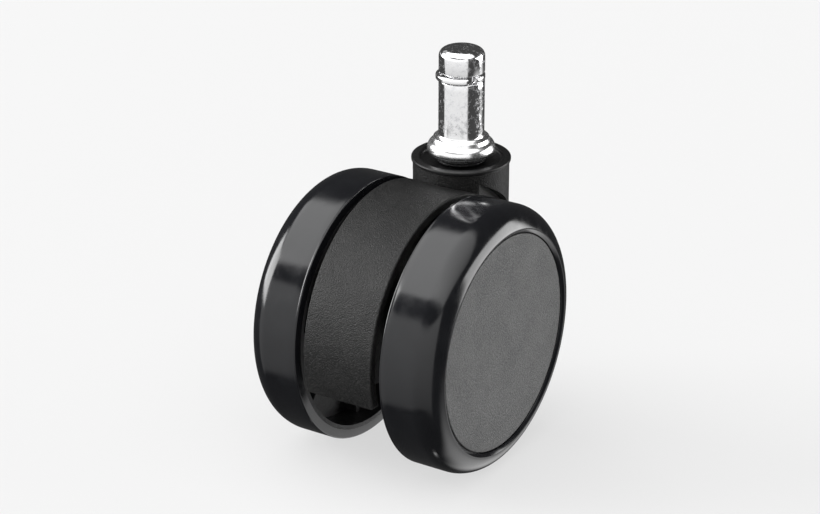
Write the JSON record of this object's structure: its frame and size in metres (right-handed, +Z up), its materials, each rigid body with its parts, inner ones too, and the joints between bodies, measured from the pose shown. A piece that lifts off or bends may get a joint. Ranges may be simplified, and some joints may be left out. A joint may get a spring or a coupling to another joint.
{
  "type": "chair caster wheel",
  "caption": "Twin-wheel office chair caster with a grip-ring stem, hooded swivel housing and soft-tread wheels.",
  "frame": {"origin": "centre of the rim on top of the stem's collar, where the chair's socket rests, on the swivel axis", "axes": "+Z up along the stem, +X along the wheels' axle, -Y towards the hood; the axle lies 21.5 mm towards -Y of the swivel axis and 39.8 mm below the origin"},
  "size_m": [0.0522, 0.066, 0.0943],
  "materials": {
    "plated_steel": "bright zinc-chrome plate with fine pits",
    "spring_steel": "bright zinc plate, slightly satin",
    "axle_steel": "ground and zinc plated",
    "housing_nylon": "matte black, fine spark texture",
    "bush_nylon": "matte black with a polished rim",
    "washer_nylon": "semi-gloss black",
    "bearing_acetal": "natural white, smooth",
    "tread_polyurethane": "glossy blue-black polyurethane",
    "rim_nylon": "smooth satin black",
    "cap_nylon": "matte charcoal, speckled grain"
  },
  "bodies": {
    "stem_unit": {"stem": "plated_steel", "thrust_washer": "washer_nylon", "retaining_ring": "spring_steel"},
    "grip_ring_unit": {"grip_ring": "spring_steel"},
    "swivel_housing": {"housing": "housing_nylon", "swivel_bush": "bush_nylon", "thrust_pad": "spring_steel", "axle": "axle_steel", "spacer_left": "bearing_acetal", "spacer_right": "bearing_acetal", "outer_washer_left": "axle_steel", "outer_washer_right": "axle_steel", "axle_clip_left": "spring_steel", "axle_clip_right": "spring_steel"},
    "left_wheel": {"tyre_left": "tread_polyurethane", "rim_left": "rim_nylon", "cap_left": "cap_nylon", "hub_bush_left": "bearing_acetal"},
    "right_wheel": {"tyre_right": "tread_polyurethane", "rim_right": "rim_nylon", "cap_right": "cap_nylon", "hub_bush_right": "bearing_acetal"}
  },
  "joints": [
    {"name": "swivel", "type": "hinge", "parent": "stem_unit", "child": "swivel_housing", "pos_m": [0, 0, 0], "axis": [0, 0, 1], "continuous": true},
    {"name": "left_wheel_roll", "type": "hinge", "parent": "swivel_housing", "child": "left_wheel", "pos_m": [-0.0188, -0.0215, -0.0398], "axis": [1, 0, 0], "continuous": true},
    {"name": "right_wheel_roll", "type": "hinge", "parent": "swivel_housing", "child": "right_wheel", "pos_m": [0.0188, -0.0215, -0.0398], "axis": [1, 0, 0], "continuous": true},
    {"name": "grip_ring_squeeze", "type": "slide", "parent": "stem_unit", "child": "grip_ring_unit", "axis": [0.8425, 0.5388, 0], "range_m": [0, 0.00033], "stiffness_N_per_m": 400, "deforming": ["grip_ring"]}
  ]
}
